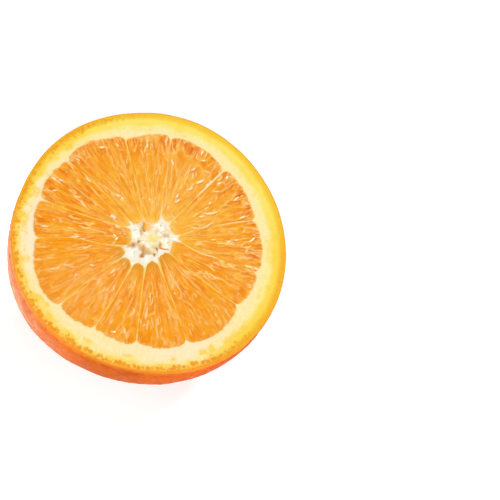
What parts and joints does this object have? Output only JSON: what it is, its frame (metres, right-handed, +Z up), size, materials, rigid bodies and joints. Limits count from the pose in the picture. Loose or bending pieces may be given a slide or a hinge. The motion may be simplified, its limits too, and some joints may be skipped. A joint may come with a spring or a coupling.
{
  "type": "orange half",
  "caption": "Fresh orange cut across its segments, lying on its dimpled round skin with the juicy cut face up.",
  "frame": {"origin": "under the middle of the fruit's outline, on the surface that it rests on", "axes": "+Z up, out of the cut face"},
  "size_m": [0.0794, 0.0808, 0.0432],
  "materials": {
    "peel": "satin",
    "pith": "matte",
    "flesh": "gloss"
  },
  "bodies": {
    "root": {"orange_half": "peel"}
  },
  "joints": []
}
